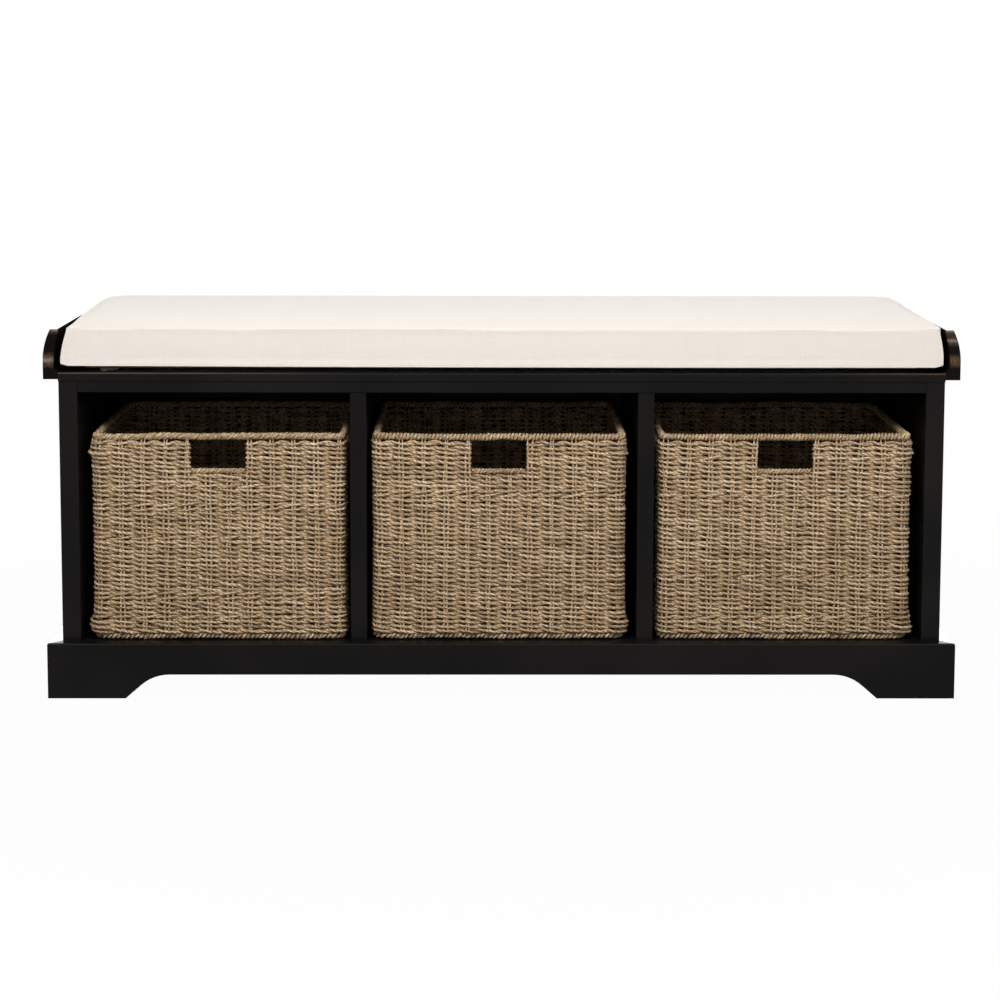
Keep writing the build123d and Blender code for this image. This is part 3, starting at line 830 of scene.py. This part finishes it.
def cushion():
    """The cover's outside blown up a little, then shaped as the stuffing holds it."""
    target = outer_shell("cushion_cover", "cushion_target")
    piece = new_piece("cushion_soft", target.data.copy())
    apply_modifier(piece, "REMESH", mode="VOXEL", voxel_size=CUSHION_VOXEL)
    apply_modifier(piece, "SHRINKWRAP", target=target, wrap_method="NEAREST_SURFACEPOINT")
    rest = places_of(piece)
    low, high = rest.min(axis=0), rest.max(axis=0)
    corners = places_of(target)
    front = corners[corners[:, 1] < low[1] + FRONT_BAND]
    shoulder, sole = front[:, 2].max(), front[:, 2].min()
    bpy.data.objects.remove(target)
    normals = np.array([vertex.normal for vertex in piece.data.vertices])
    normals[:, 2] = np.maximum(normals[:, 2], 0.0)
    rest -= CUSHION_SLACK * normals
    piece.data.vertices.foreach_set("co", rest.ravel())
    piece.data.vertices.foreach_set("co", swelled(piece, rest).ravel())
    apply_modifier(piece, "SUBSURF", levels=1, render_levels=1)
    spots = cushion_shape(places_of(piece), low, high, sole, shoulder)
    piece.data.vertices.foreach_set("co", spots.ravel())
    bpy.ops.object.shade_smooth()
    piece.data.set_sharp_from_angle(angle=math.radians(CREASE_DEGREES))
    piece.data.materials.append(cushion_cloth())
    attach(piece, "cushion")
    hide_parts("cushion_cover", "cushion_foam")


cushion()


# Stage, lights and camera

WORLD_LIGHT = 0.30
WARM_WHITE = (1.0, 0.985, 0.965)


def stage_floor():
    """White where it is seen, grey where it only gives light back."""
    bpy.ops.mesh.primitive_plane_add(size=24.0)
    floor = bpy.context.object
    floor.name = "floor"
    finish = Finish("pale_floor")
    spot = finish.node("ShaderNodeTexCoord", out="Object")
    away = finish.node("ShaderNodeVectorMath", {"operation": "LENGTH"}, {0: spot}, out="Value")
    white = finish.rays_shown() * (0.975 + 0.025 * away.ramp(0.6, 1.6))
    lit = finish.node("ShaderNodeBsdfDiffuse", {}, {"Color": (0.3, 0.3, 0.3, 1.0)})
    glow = finish.node("ShaderNodeEmission", {}, {"Color": (1.0, 1.0, 1.0, 1.0)})
    both = finish.node("ShaderNodeMixShader", {}, {0: white, 1: lit, 2: glow})
    floor.data.materials.append(finish.end(both))


def softbox(name, place, target, size, power, colour=(1.0, 1.0, 1.0)):
    lamp = bpy.data.lights.new(name, "AREA")
    lamp.color = colour
    lamp.shape = "RECTANGLE"
    lamp.size, lamp.size_y = size
    lamp.energy = power
    holder = bpy.data.objects.new(name, lamp)
    holder.location = place
    aim = [t - p for t, p in zip(target, place)]
    flat = math.hypot(aim[0], aim[1])
    holder.rotation_euler = (math.atan2(flat, -aim[2]), 0.0, math.atan2(-aim[0], aim[1]))
    bpy.context.scene.collection.objects.link(holder)


def studio_world():
    """White where it is seen, and softer light on the object."""
    finish = Finish("studio", "World")
    level = finish.rays_shown() * (1.0 - WORLD_LIGHT) + WORLD_LIGHT
    sky = finish.node("ShaderNodeBackground", {}, {"Color": (1.0, 1.0, 1.0, 1.0), "Strength": level})
    bpy.context.scene.world = finish.end(sky)


def camera():
    lens = bpy.data.cameras.new("camera")
    lens.lens = 86.6
    lens.sensor_width = 36.0
    lens.shift_y = -0.15
    holder = bpy.data.objects.new("camera", lens)
    holder.location = (-0.0282, -3.3565, 0.8243)
    holder.rotation_euler = (math.radians(90 - 6.393), math.radians(-0.124), math.radians(-0.438))
    bpy.context.scene.collection.objects.link(holder)
    bpy.context.scene.camera = holder


bpy.ops.object.select_all(action="DESELECT")
stage_floor()
studio_world()
softbox("key", (-1.3, -2.1, 2.1), (0.0, 0.0, 0.3), (1.6, 1.2), 20.5, WARM_WHITE)
softbox("fill", (1.4, -2.1, 2.0), (0.0, 0.0, 0.3), (1.6, 1.2), 19.0, WARM_WHITE)
softbox("front", (0.0, -1.1, 1.2), (0.0, -0.1, 0.35), (2.6, 0.5), 12.2, (1.0, 0.94, 0.87))
softbox("top", (0.0, 0.9, 2.3), (0.0, 0.2, 0.4), (2.6, 1.2), 9.0)
softbox("back", (0.0, 3.6, 1.1), (0.0, 0.0, 0.5), (7.0, 1.4), 60.0)
camera()
bpy.context.scene.view_settings.view_transform = "Standard"
